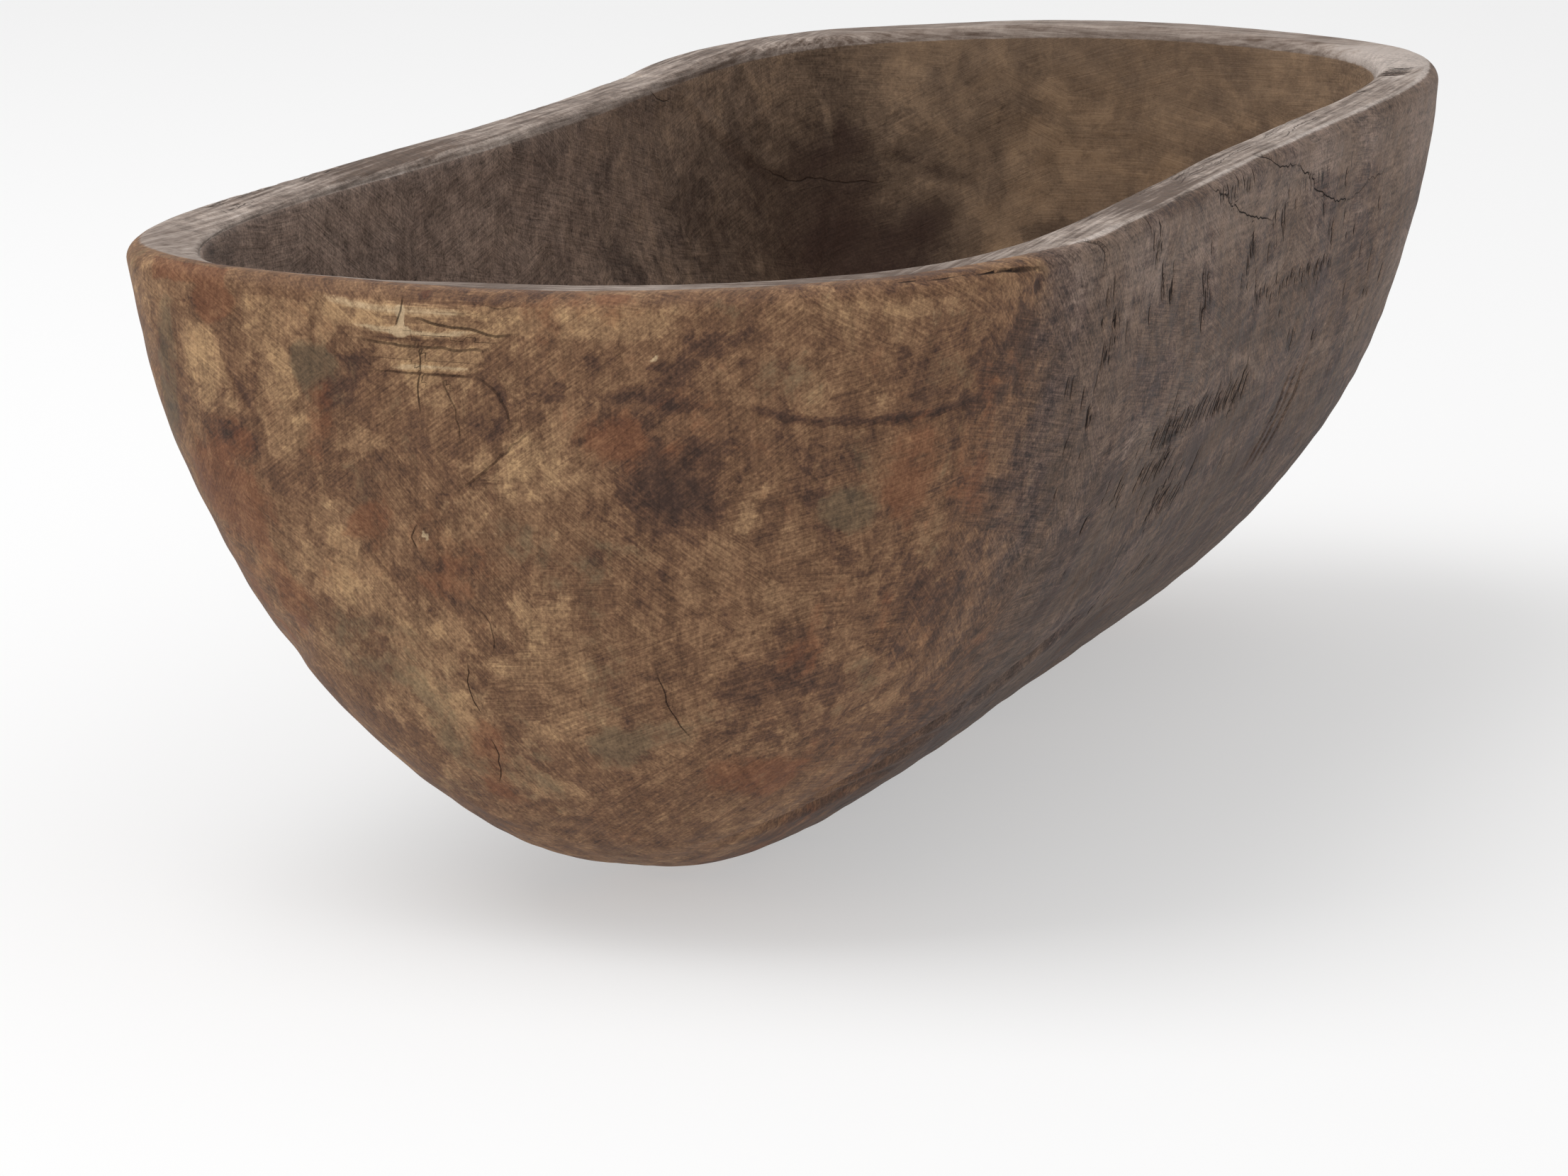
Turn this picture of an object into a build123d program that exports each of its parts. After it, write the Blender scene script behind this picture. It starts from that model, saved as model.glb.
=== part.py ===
from build123d import *
import os
from math import cos, exp, hypot, pi, radians, sin

# One long carved bowl, hollowed out of a single piece of log.
# +Z is up, +X runs along the bowl, and the origin is under the middle of the bowl on the surface it rests on.

# Driving dimensions, in millimetres
HALF_LENGTH = 330.0
HALF_WIDTH = 156.0
RIM_HEIGHT = 214.5
FLOOR_THICKNESS = 28.0
SIDE_WALL = 22.0
END_WALL = 26.0
RIM_OUTER_ROUND = 6.5
RIM_INNER_ROUND = 5.0
BASE_ROUND_HEIGHT = 5.6
BASE_ROUND_INSET = 7.0
BASE_PLANED_OFF = 0.5

# The rim isn't level: it climbs to the far end, leans to one side and has one gentle wave
RIM_CLIMB = 4.1
RIM_LEAN = -1.9
RIM_WAVE = 2.0

# Plan outline: a superellipse whose four corners were carved to different squareness
PLAN_POWER_AT_BASE = 3.0
PLAN_POWER_AT_RIM = 2.2
CORNER_SQUARENESS = {45: 2.4, 135: 2.9, 225: 1.2, 315: 1.8}
CORNER_SPREAD = 0.5
CORNER_GROWTH = 1.9
PLAN_TAPER = -0.02
WAIST_LEFT = -8.9
WAIST_RIGHT = 8.2
END_CROWN = 2.5

# Flare of the walls from the resting flat to the rim: share of the rim's size at the base, then two powers
NEAR_END_FLARE = (0.43, 4.0, 2.34)
FAR_END_FLARE = (0.53, 3.9, 2.28)
SIDE_FLARE = (0.15, 2.6, 1.1)

# Sections from the base to the rim, closer together towards both
WALL_STEPS = 22
BASE_CROWDING = 1.3
ROUND_STEPS = 4
POINTS_ROUND = 44


def flare(share, level):
    """Size at a level, as a share of the size at the rim."""
    base, rise, ease = share
    return base + (1 - base) * (1 - (1 - level) ** rise) ** (1 / ease)


def turn_between(angle, middle):
    """Smallest signed turn from one angle to another."""
    return (angle - middle + pi) % (2 * pi) - pi


def plan_power(angle, level):
    """Squareness of the plan outline at one angle and level."""
    power = PLAN_POWER_AT_BASE + (PLAN_POWER_AT_RIM - PLAN_POWER_AT_BASE) * level
    for corner, squareness in CORNER_SQUARENESS.items():
        nearness = exp(-((turn_between(angle, radians(corner)) / CORNER_SPREAD) ** 2))
        power += squareness * nearness * level**CORNER_GROWTH
    return power


def plan_point(angle, level, side_inset=0.0, end_inset=0.0):
    """Point of the full-size plan outline, set in from the sides and the ends."""
    power = plan_power(angle, level)
    reach = (abs(cos(angle)) ** power + abs(sin(angle)) ** power) ** (-1 / power)
    x = (HALF_LENGTH - end_inset) * cos(angle) * reach
    y = (HALF_WIDTH - side_inset) * sin(angle) * reach
    y *= 1 + PLAN_TAPER * x / HALF_LENGTH
    waist = WAIST_LEFT if sin(angle) > 0 else WAIST_RIGHT
    y += waist * abs(sin(angle)) * cos(pi * x / HALF_LENGTH)
    x += END_CROWN * cos(angle) * (y / HALF_WIDTH) ** 2
    return x, y


def rim_rise(angle):
    """How much higher or lower than RIM_HEIGHT the rim is at one angle."""
    return RIM_CLIMB * cos(angle) + RIM_LEAN * sin(angle) + RIM_WAVE * cos(3 * angle)


def flared(angle, level, x, y):
    """Draws a full-size plan point in to its place at a lower level."""
    end_flare = NEAR_END_FLARE if cos(angle) < 0 else FAR_END_FLARE
    return x * flare(end_flare, level), y * flare(SIDE_FLARE, level)


def outer_point(angle, level):
    """Point of the outside, rounded under where it meets the resting flat."""
    x, y = flared(angle, level, *plan_point(angle, level))
    z = RIM_HEIGHT * level
    curl = max(0.0, 1 - z / BASE_ROUND_HEIGHT) ** 2
    shrink = 1 - BASE_ROUND_INSET * curl / hypot(x, y)
    return x * shrink, y * shrink, z + rim_rise(angle) * level**3


def inner_point(angle, level):
    """Point of the hollow, whose levels run from its floor to the rim."""
    x, y = flared(angle, level, *plan_point(angle, level, SIDE_WALL, END_WALL))
    z = FLOOR_THICKNESS + (RIM_HEIGHT - FLOOR_THICKNESS) * level
    return x, y, z + rim_rise(angle) * level**3


def rim_point(angle, wall_share, inset, drop):
    """Point of the rim, a share of the way across the wall, a little below the rim's top."""
    level = 1 - drop / RIM_HEIGHT
    side_inset = inset + wall_share * SIDE_WALL
    end_inset = inset + wall_share * END_WALL
    x, y = flared(angle, level, *plan_point(angle, level, side_inset, end_inset))
    return x, y, RIM_HEIGHT * level + rim_rise(angle) * level**3


def ring(place):
    """Closed smooth section through the points that place gives round the bowl."""
    angles = [2 * pi * (step + 0.5) / POINTS_ROUND for step in range(POINTS_ROUND)]
    points = [Vector(*place(angle)) for angle in angles]
    shares = [step / POINTS_ROUND for step in range(POINTS_ROUND + 1)]
    return Wire([Edge.make_spline(points, periodic=True, parameters=shares)])


def wall_levels():
    """Levels of the sections of one wall, from its base to just under its rounded edge."""
    shares = [(1 - cos(pi * step / WALL_STEPS)) / 2 for step in range(WALL_STEPS)]
    return [share**BASE_CROWDING for share in shares]


def outer_rings():
    """Sections of the outside, from the base up."""
    top = 1 - RIM_OUTER_ROUND / RIM_HEIGHT
    return [ring(lambda angle: outer_point(angle, level * top)) for level in wall_levels()]


def rim_rings():
    """Sections over the rim: outer round, flat top, inner round."""
    turns = [pi / 2 * step / ROUND_STEPS for step in range(ROUND_STEPS + 1)]
    rings = []
    for turn in turns:
        inset = RIM_OUTER_ROUND * (1 - cos(turn))
        drop = RIM_OUTER_ROUND * (1 - sin(turn))
        rings.append(ring(lambda angle: rim_point(angle, 0, inset, drop)))
    rings.append(ring(lambda angle: rim_point(angle, 0.5, 0, 0)))
    for turn in turns:
        inset = -RIM_INNER_ROUND * (1 - sin(turn))
        drop = RIM_INNER_ROUND * (1 - cos(turn))
        rings.append(ring(lambda angle: rim_point(angle, 1, inset, drop)))
    return rings


def inner_rings():
    """Sections of the hollow, from the rim down to its floor."""
    top = 1 - RIM_INNER_ROUND / (RIM_HEIGHT - FLOOR_THICKNESS)
    levels = reversed(wall_levels())
    return [ring(lambda angle: inner_point(angle, level * top)) for level in levels]


def carved_bowl():
    """The whole bowl: up the outside, over the rim, down into the hollow, then planed flat to stand."""
    hull = Solid.make_loft(outer_rings() + rim_rings() + inner_rings())
    bowl = split(hull, bisect_by=Plane.XY.offset(BASE_PLANED_OFF), keep=Keep.TOP).solid()
    box = bowl.bounding_box()
    return bowl.moved(Location((-box.center().X, -box.center().Y, -box.min.Z)))


os.makedirs("parts", exist_ok=True)
part = carved_bowl()
part.label = "carved_bowl"
export_step(part, "parts/carved_bowl.step")
print("volume", part.volume, "valid", part.is_valid, "size", part.bounding_box().size)
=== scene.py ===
from math import cos, pi, radians, sin

import bpy
import numpy as np
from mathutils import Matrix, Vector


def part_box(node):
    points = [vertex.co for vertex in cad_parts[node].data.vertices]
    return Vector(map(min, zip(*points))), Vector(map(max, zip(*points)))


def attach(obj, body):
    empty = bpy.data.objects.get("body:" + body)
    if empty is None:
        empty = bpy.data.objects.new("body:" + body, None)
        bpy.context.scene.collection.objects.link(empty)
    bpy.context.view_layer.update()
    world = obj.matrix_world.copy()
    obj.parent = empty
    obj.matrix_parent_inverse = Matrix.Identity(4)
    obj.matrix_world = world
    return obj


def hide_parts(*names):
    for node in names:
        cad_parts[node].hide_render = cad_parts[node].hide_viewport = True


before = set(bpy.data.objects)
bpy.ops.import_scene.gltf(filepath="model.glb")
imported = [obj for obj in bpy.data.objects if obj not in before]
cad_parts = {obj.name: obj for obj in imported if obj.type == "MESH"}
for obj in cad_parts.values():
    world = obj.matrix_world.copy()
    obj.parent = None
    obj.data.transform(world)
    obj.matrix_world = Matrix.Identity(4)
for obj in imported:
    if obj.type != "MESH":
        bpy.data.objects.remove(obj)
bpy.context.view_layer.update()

# One long bowl carved from a log. Metres, in the CAD frame: +X runs along the bowl to its far end, +Z is up.
# The visual piece follows the CAD solid's formulas, then gets its carving marks, cracks and stains.

# ---- the bowl's own dimensions

MM = 0.001
HALF_LENGTH = 330 * MM
HALF_WIDTH = 156 * MM
RIM_HEIGHT = 214.5 * MM
FLOOR_THICKNESS = 28 * MM
SIDE_WALL = 22 * MM
END_WALL = 26 * MM
RIM_OUTER_ROUND = 6.5 * MM
RIM_INNER_ROUND = 5 * MM
BASE_ROUND_HEIGHT = 5.6 * MM
BASE_ROUND_INSET = 7 * MM
BASE_PLANED_OFF = 0.5 * MM
RIM_CLIMB = 4.1 * MM
RIM_LEAN = -1.9 * MM
RIM_WAVE = 2.0 * MM
PLAN_POWER_AT_BASE = 3.0
PLAN_POWER_AT_RIM = 2.2
CORNER_SQUARENESS = {45: 2.4, 135: 2.9, 225: 1.2, 315: 1.8}
CORNER_SPREAD = 0.5
CORNER_GROWTH = 1.9
PLAN_TAPER = -0.02
WAIST_LEFT = -8.9 * MM
WAIST_RIGHT = 8.2 * MM
END_CROWN = 2.5 * MM
NEAR_END_FLARE = (0.43, 4.0, 2.34)
FAR_END_FLARE = (0.53, 3.9, 2.28)
SIDE_FLARE = (0.15, 2.6, 1.1)

# Mesh spacing, with the angles between which it's fine
FINE_STEP = 1.15 * MM
COARSE_STEP = 1.9 * MM
OUTSIDE_STEP = 1.15 * MM
RIM_STEP = 0.75 * MM
INSIDE_STEP = 1.9 * MM
FLAT_OF_RIM = 14 * MM
FLAT_ROWS = 14
FINE_FROM = (radians(112), radians(130))
FINE_TO = (radians(372), radians(352))

rng = np.random.default_rng(7)


def flare(share, level):
    """Size at a level, as a share of the size at the rim."""
    base, rise, ease = share
    return base + (1 - base) * np.clip(1 - (1 - level) ** rise, 0, 1) ** (1 / ease)


def turn_between(angle, middle):
    """Smallest signed turn from one angle to another."""
    return (angle - middle + pi) % (2 * pi) - pi


def section(angle, level, side_inset=0.0, end_inset=0.0):
    """Points of the outline at a level, set in from the sides and the ends."""
    power = PLAN_POWER_AT_BASE + (PLAN_POWER_AT_RIM - PLAN_POWER_AT_BASE) * level
    for corner, squareness in CORNER_SQUARENESS.items():
        nearness = np.exp(-((turn_between(angle, radians(corner)) / CORNER_SPREAD) ** 2))
        power = power + squareness * nearness * level**CORNER_GROWTH
    reach = (np.abs(np.cos(angle)) ** power + np.abs(np.sin(angle)) ** power) ** (-1 / power)
    x = (HALF_LENGTH - end_inset) * np.cos(angle) * reach
    y = (HALF_WIDTH - side_inset) * np.sin(angle) * reach
    y = y * (1 + PLAN_TAPER * x / HALF_LENGTH)
    waist = np.where(np.sin(angle) > 0, WAIST_LEFT, WAIST_RIGHT)
    y = y + waist * np.abs(np.sin(angle)) * np.cos(pi * x / HALF_LENGTH)
    x = x + END_CROWN * np.cos(angle) * (y / HALF_WIDTH) ** 2
    end_flare = np.where(np.cos(angle) < 0, flare(NEAR_END_FLARE, level), flare(FAR_END_FLARE, level))
    return x * end_flare, y * flare(SIDE_FLARE, level)


def raised(angle, level, x, y, z):
    """The points at their heights, with the share of the rim's climb, lean and wave that their level has."""
    rim_rise = RIM_CLIMB * np.cos(angle) + RIM_LEAN * np.sin(angle) + RIM_WAVE * np.cos(3 * angle)
    return np.stack([x, y, z + rim_rise * level**3], axis=-1)


def outer_point(angle, level):
    """Points of the outside, rounded under where it meets the resting flat."""
    x, y = section(angle, level)
    z = RIM_HEIGHT * level
    curl = np.clip(1 - z / BASE_ROUND_HEIGHT, 0, 1) ** 2
    shrink = 1 - BASE_ROUND_INSET * curl / np.hypot(x, y)
    return raised(angle, level, x * shrink, y * shrink, z)


def inner_point(angle, level):
    """Points of the hollow, whose levels run from its floor to the rim."""
    z = FLOOR_THICKNESS + (RIM_HEIGHT - FLOOR_THICKNESS) * level
    return raised(angle, level, *section(angle, level, SIDE_WALL, END_WALL), z)


def rim_point(angle, wall_share, inset, drop):
    """Points of the rim, a share of the way across the wall, a little below the rim's top."""
    level = 1 - drop / RIM_HEIGHT
    insets = (inset + wall_share * SIDE_WALL, inset + wall_share * END_WALL)
    return raised(angle, level, *section(angle, level, *insets), RIM_HEIGHT * level)


# ---- the mesh grid


def smoothstep(low, high, value):
    """0 below low, 1 above high, and smooth between them."""
    share = np.clip((value - low) / (high - low), 0, 1)
    return share * share * (3 - 2 * share)


def column_angles():
    """Angles of the columns, closer together on the near end and the right side."""
    fine = np.linspace(0, 2 * pi, 4001)
    points = outer_point(fine, np.full_like(fine, 0.9))
    length = np.linalg.norm(np.diff(points, axis=0), axis=1)
    middle = (fine[1:] + fine[:-1]) / 2
    closeness = smoothstep(*FINE_FROM, middle) * smoothstep(*FINE_TO, middle)
    columns = length * (1 / COARSE_STEP + (1 / FINE_STEP - 1 / COARSE_STEP) * closeness)
    total = np.concatenate([[0], np.cumsum(columns)])
    count = int(total[-1])
    return np.interp((np.arange(count) + 0.5) * total[-1] / count, total, fine)


def even_levels(place, low, high, step):
    """Levels from low to high, evenly spaced along the wall on average of its end and its side."""
    fine = np.linspace(low, high, 1500)
    length = np.zeros(len(fine) - 1)
    for angle in (pi, 1.5 * pi):
        points = place(np.full_like(fine, angle), fine)
        length += np.linalg.norm(np.diff(points, axis=0), axis=1) / 2
    total = np.concatenate([[0], np.cumsum(length)])
    count = int(total[-1] / step)
    return np.interp(np.linspace(0, total[-1], count), total, fine)


def quarter_round(radius):
    """How far in and down each row of a quarter round is, after its start."""
    turns = np.linspace(0, pi / 2, int(pi / 2 * radius / RIM_STEP))[1:]
    return [(radius * (1 - cos(turn)), radius * (1 - sin(turn))) for turn in turns]


def rim_rows(angles):
    """Rows over the rim: outer round, flat top, inner round."""
    rows = [rim_point(angles, 0, inset, drop) for inset, drop in quarter_round(RIM_OUTER_ROUND)]
    start = rows[-1]
    end = rim_point(angles, 1, -RIM_INNER_ROUND, 0)
    rows += [start + (end - start) * share for share in np.linspace(0, 1, int(FLAT_OF_RIM / RIM_STEP))[1:]]
    rows += [rim_point(angles, 1, -inset, drop) for drop, inset in quarter_round(RIM_INNER_ROUND)[:-1]]
    return rows


def flat_rows(ring):
    """Rows from near the middle of a flat floor out to the ring around it."""
    centre = ring.mean(axis=0)
    shares = (np.arange(FLAT_ROWS) + 0.5) / FLAT_ROWS
    return [centre + (ring - centre) * share for share in shares]


UNDER, OUTSIDE, RIM, HOLLOW, FLOOR = range(5)


def bowl_grid():
    """Rows of points from under the base, up the outside, over the rim and into the hollow."""
    angles = column_angles()
    outer_top = 1 - RIM_OUTER_ROUND / RIM_HEIGHT
    inner_top = 1 - RIM_INNER_ROUND / (RIM_HEIGHT - FLOOR_THICKNESS)
    outer_levels = even_levels(outer_point, BASE_PLANED_OFF / RIM_HEIGHT, outer_top, OUTSIDE_STEP)
    inner_levels = even_levels(inner_point, 0.0, inner_top, INSIDE_STEP)
    outside = [outer_point(angles, level) for level in outer_levels]
    outside[0][:, 2] = BASE_PLANED_OFF
    inside = [inner_point(angles, level) for level in inner_levels[::-1]]
    rim = rim_rows(angles)
    under = flat_rows(outside[0])
    floor = flat_rows(inside[-1])[::-1]
    parts = (under, outside, rim, inside, floor)
    kinds = np.repeat((UNDER, OUTSIDE, RIM, HOLLOW, FLOOR), [len(rows) for rows in parts])
    grid = np.concatenate(parts)
    low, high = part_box("carved_bowl")
    middle = (grid.max(axis=(0, 1)) + grid.min(axis=(0, 1))) / 2
    grid[..., 0] += (low[0] + high[0]) / 2 - middle[0]
    grid[..., 1] += (low[1] + high[1]) / 2 - middle[1]
    grid[..., 2] -= BASE_PLANED_OFF
    return grid, kinds, angles


def grid_normals(grid):
    """Outward unit normals of the grid."""
    around = np.roll(grid, -1, axis=1) - np.roll(grid, 1, axis=1)
    along = np.gradient(grid, axis=0)
    normals = np.cross(around, along)
    length = np.linalg.norm(normals, axis=-1, keepdims=True)
    return normals / np.maximum(length, 1e-12)


grid, row_kinds, column_angle = bowl_grid()
ROWS, COLUMNS = grid.shape[:2]
points = grid.reshape(-1, 3)
normals = grid_normals(grid).reshape(-1, 3)
kind = np.repeat(row_kinds, COLUMNS)
row_of = np.repeat(np.arange(ROWS), COLUMNS)
rim_span = np.flatnonzero(row_kinds == RIM)
lift = np.zeros(len(points))

# Painted masks, one value for each vertex
FAR_FROM_CUTS = 9.0
paint = {}
for mask_name in ("gold", "dark", "red", "green", "pale", "tone", "nick", "cut_depth"):
    paint[mask_name] = np.zeros(len(points))
paint["cut_side"] = np.full(len(points), FAR_FROM_CUTS)

# Vertices in order along the bowl, so that the ones near a place are found quickly
by_length = np.argsort(points[:, 0])
points_by_length = points[by_length]


def near(place, radius):
    """Vertices within a radius of a place."""
    first, last = np.searchsorted(points_by_length[:, 0], (place[0] - radius, place[0] + radius))
    close = np.linalg.norm(points_by_length[first:last] - place, axis=1) < radius
    return by_length[first:last][close]


# ---- places on the bowl

skin = (kind == OUTSIDE) | (kind == RIM)
lining = (kind == HOLLOW) | (kind == RIM)


def turned_to(part, axis, way, tilt, outward=1):
    """Vertices that face one way along an axis, and the axes that lie across and up the face."""
    turned = part & (normals[:, axis] * way > tilt)
    return np.flatnonzero(turned & (points[:, axis] * way * outward > 0)), 1 - axis, 2


FACES = {
    "near_end": turned_to(skin, 0, -1, 0.25),
    "far_end": turned_to(skin, 0, 1, 0.25),
    "right_side": turned_to(skin, 1, -1, 0.2),
    "left_side": turned_to(skin, 1, 1, 0.2),
    "left_hollow": turned_to(lining, 1, -1, 0.2, -1),
    "right_hollow": turned_to(lining, 1, 1, 0.2, -1),
    "far_hollow": turned_to(lining, 0, -1, 0.2, -1),
    "rim_top": (np.flatnonzero((kind == RIM) & (normals[:, 2] > 0.3)), 0, 1),
}


def flat_places(face):
    """Vertices of a face, and their places across and up it, in mm."""
    members, across, up = FACES[face]
    return members, points[members][:, (across, up)] / MM


def facing(face):
    """1 where a face looks straight out, fading to 0 where it turns away round the bowl's corners."""
    members, across, up = FACES[face]
    return smoothstep(0.2, 0.45, np.abs(normals[members, 3 - across - up]))


def line_distance(places, path):
    """Signed distance from places to a path, and how far along it the nearest point is."""
    best = np.full(len(places), 1e9)
    signed = np.full(len(places), 1e9)
    along = np.zeros(len(places))
    lengths = np.linalg.norm(np.diff(path, axis=0), axis=1)
    total = lengths.sum()
    done = 0.0
    for start, end, length in zip(path[:-1], path[1:], lengths):
        direction = (end - start) / length
        offset = places - start
        share = np.clip(offset @ direction, 0, length)
        gap = offset - share[:, None] * direction
        distance = np.hypot(gap[:, 0], gap[:, 1])
        side = np.sign(direction[0] * offset[:, 1] - direction[1] * offset[:, 0])
        closer = distance < best
        best[closer] = distance[closer]
        signed[closer] = (distance * side)[closer]
        along[closer] = ((done + share) / total)[closer]
        done += length
    return signed, along


def roughened(path, jitter, step=2.5):
    """The path with more points, which wander to either side as a crack does in wood."""
    path = np.array(path, float)
    made = [path[0]]
    for start, end in zip(path[:-1], path[1:]):
        length = np.linalg.norm(end - start)
        count = max(1, int(length / step))
        across = np.array([start[1] - end[1], end[0] - start[0]]) / length
        for number in range(1, count + 1):
            place = start + (end - start) * number / count
            if number < count:
                place = place + across * rng.normal(0, jitter)
            made.append(place)
    return np.array(made)


CUT_MARGIN = 4.0
CUT_REACH = 3
GROOVE_REACH = 1.2
GROOVE_DEPTH = 0.35


def cut(face, path, depth=1.0, jitter=0.35, width=1.0):
    """A crack, a nick or a painted shadow line along a path: a thin dark line for the material and a groove
    in the mesh.
    """
    members, places = flat_places(face)
    path = roughened(path, jitter)
    low = path.min(axis=0) - CUT_MARGIN
    high = path.max(axis=0) + CUT_MARGIN
    inside = ((places > low) & (places < high)).all(axis=1)
    members = members[inside]
    if len(members) == 0:
        return
    signed, along = line_distance(places[inside], path)
    taper = np.minimum(1, np.minimum(along, 1 - along) * 6 + 0.15)
    signed = signed / width
    distance = np.abs(signed)
    closer = (distance < np.abs(paint["cut_side"][members])) & (distance < CUT_REACH)
    paint["cut_side"][members[closer]] = signed[closer]
    paint["cut_depth"][members[closer]] = (depth * taper)[closer]
    lift[members] -= depth * taper * np.clip(1 - distance / GROOVE_REACH, 0, 1) * GROOVE_DEPTH * MM


def mark(members, amount, masks):
    """Adds an amount of each mask at some vertices; lift, in mm, moves the surface."""
    for name, value in masks.items():
        if name == "lift":
            lift[members] += amount * value * MM
        else:
            paint[name][members] += amount * value


def band(face, path, width, height=0.0, blur=0.5, **masks):
    """A soft ridge (height above 0) or groove (below 0) along a path, in mm, with its stains and, in the
    grooves, painted shade.
    """
    members, places = flat_places(face)
    signed, along = line_distance(places, roughened(path, 0.0, 4))
    taper = np.clip(np.minimum(along, 1 - along) * 5, 0, 1)
    amount = (1 - smoothstep(width * (1 - blur), width, np.abs(signed))) * taper
    mark(members, amount, {"lift": height, **masks})


def blot(face, place, size, tilt=0.0, blur=0.6, **masks):
    """A stain on a face: an ellipse with soft edges, turned by tilt in degrees."""
    members, places = flat_places(face)
    offset = places - np.array(place, float)
    turn = radians(tilt)
    across = (offset[:, 0] * cos(turn) + offset[:, 1] * sin(turn)) / size[0]
    up = (offset[:, 1] * cos(turn) - offset[:, 0] * sin(turn)) / size[1]
    amount = (1 - smoothstep(1 - blur, 1 + blur * 0.4, np.hypot(across, up))) * facing(face)
    mark(members, amount, masks)


def facet(face, corners, edge=0.8, **masks):
    """A convex patch with straight, fairly sharp edges, given by its corners."""
    members, places = flat_places(face)
    corners = np.array(corners, float)
    middle = corners.mean(axis=0)
    within = np.full(len(places), 1e9)
    for start, end in zip(corners, np.roll(corners, -1, axis=0)):
        along = (end - start) / np.linalg.norm(end - start)
        across = np.array([-along[1], along[0]])
        if (middle - start) @ across < 0:
            across = -across
        within = np.minimum(within, (places - start) @ across)
    mark(members, smoothstep(-edge, edge, within), masks)


def cuts(face, rows):
    """Several cracks on one face."""
    for row in rows:
        cut(face, *row)


def bands(face, rows):
    """Several ridges and grooves on one face."""
    for path, width, height, blur, masks in rows:
        band(face, path, width, height, blur, **masks)


def blots(face, rows, blur, mask, tilt=0):
    """Several stains of one kind on one face."""
    for along, up, length, height, amount in rows:
        blot(face, (along, up), (length, height), tilt, blur, **{mask: amount})


# ---- carving marks all over


def waves(count, shortest, longest):
    """Smooth random unevenness, from about -1 to 1, made of waves in random directions."""
    total = np.zeros(len(points))
    for _ in range(count):
        direction = rng.normal(size=3)
        direction /= np.linalg.norm(direction)
        length = rng.uniform(shortest, longest)
        total += np.sin(points @ direction * 2 * pi / length + rng.uniform(0, 2 * pi))
    return total / np.sqrt(count / 2)


def strokes(where, count, length, width, depth):
    """Adze strokes: shallow scoops, each with its own tone where it is the deepest cut."""
    members = np.flatnonzero(where)
    deepest = np.zeros(len(points))
    toned = np.zeros(len(points))
    for index in rng.choice(members, count):
        centre = points[index]
        normal = normals[index]
        reach = length * rng.uniform(0.7, 1.3)
        breadth = width * rng.uniform(0.7, 1.3)
        found = near(centre, reach)
        found = found[normals[found] @ normal > 0.3]
        across = np.cross(normal, (0, 0, 1.0))
        across /= np.linalg.norm(across) + 1e-9
        up = np.cross(normal, across)
        turn = rng.normal(radians(60), radians(35))
        offset = points[found] - centre
        first = offset @ (across * cos(turn) + up * sin(turn)) / reach
        second = offset @ (up * cos(turn) - across * sin(turn)) / breadth
        cut_in = depth * rng.uniform(0.5, 1.2) * (1 - first**2 - second**2)
        deeper = cut_in > deepest[found]
        deepest[found[deeper]] = cut_in[deeper]
        toned[found[deeper]] = rng.normal()
    lift[:] -= deepest * below_rim
    paint["tone"] += toned * STROKE_TONE


def make_uneven():
    """The surface is set back a little and waves gently, less so at the rim and the resting flat."""
    free = np.where(kind == UNDER, 0.0, smoothstep(1 * MM, 12 * MM, points[:, 2]))
    broad = waves(14, 55 * MM, 150 * MM) * (0.45 + 0.55 * below_rim)
    fine = waves(30, 8 * MM, 26 * MM) * (0.03 + 0.07 * below_rim)
    lift[:] += (BROAD_WAVE * broad + fine - SET_BACK) * MM * free


def soften_left_rim():
    """The inner edge of the left rim is worn to a broad soft roll, broadest at the near corner."""
    angle = np.tile(column_angle, ROWS)
    corner = np.exp(-((turn_between(angle, radians(141)) / radians(17)) ** 2))
    side = smoothstep(radians(75), radians(100), angle) * smoothstep(radians(175), radians(160), angle)
    below = np.where(kind == HOLLOW, rim_top - points[:, 2], 0)
    narrow = np.where(kind == RIM, smoothstep(0.4, 1.0, across_rim), 1 - smoothstep(0, 13 * MM, below))
    wide = np.where(kind == RIM, smoothstep(0.15, 1.0, across_rim), 1 - smoothstep(0, 30 * MM, below))
    worn = (SIDE_WEAR * side * narrow + CORNER_WEAR * corner * wide) * MM
    lift[:] -= np.where((kind == RIM) | (kind == HOLLOW), worn, 0)


STROKE_TONE = 0.5
BROAD_WAVE = 0.38
SET_BACK = 0.4
SIDE_WEAR = 1.6
CORNER_WEAR = 3.4

rim_top = np.tile(grid[..., 2].max(axis=0), ROWS)
below_rim = smoothstep(3 * MM, 16 * MM, rim_top - points[:, 2])
across_rim = (row_of - rim_span[0]) / (rim_span[-1] - rim_span[0])
outside = (kind == OUTSIDE) & (points[:, 2] > 8 * MM)
strokes(outside, count=900, length=26 * MM, width=15 * MM, depth=0.22 * MM)
strokes(kind >= HOLLOW, count=800, length=30 * MM, width=16 * MM, depth=0.75 * MM)
make_uneven()
soften_left_rim()
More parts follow.
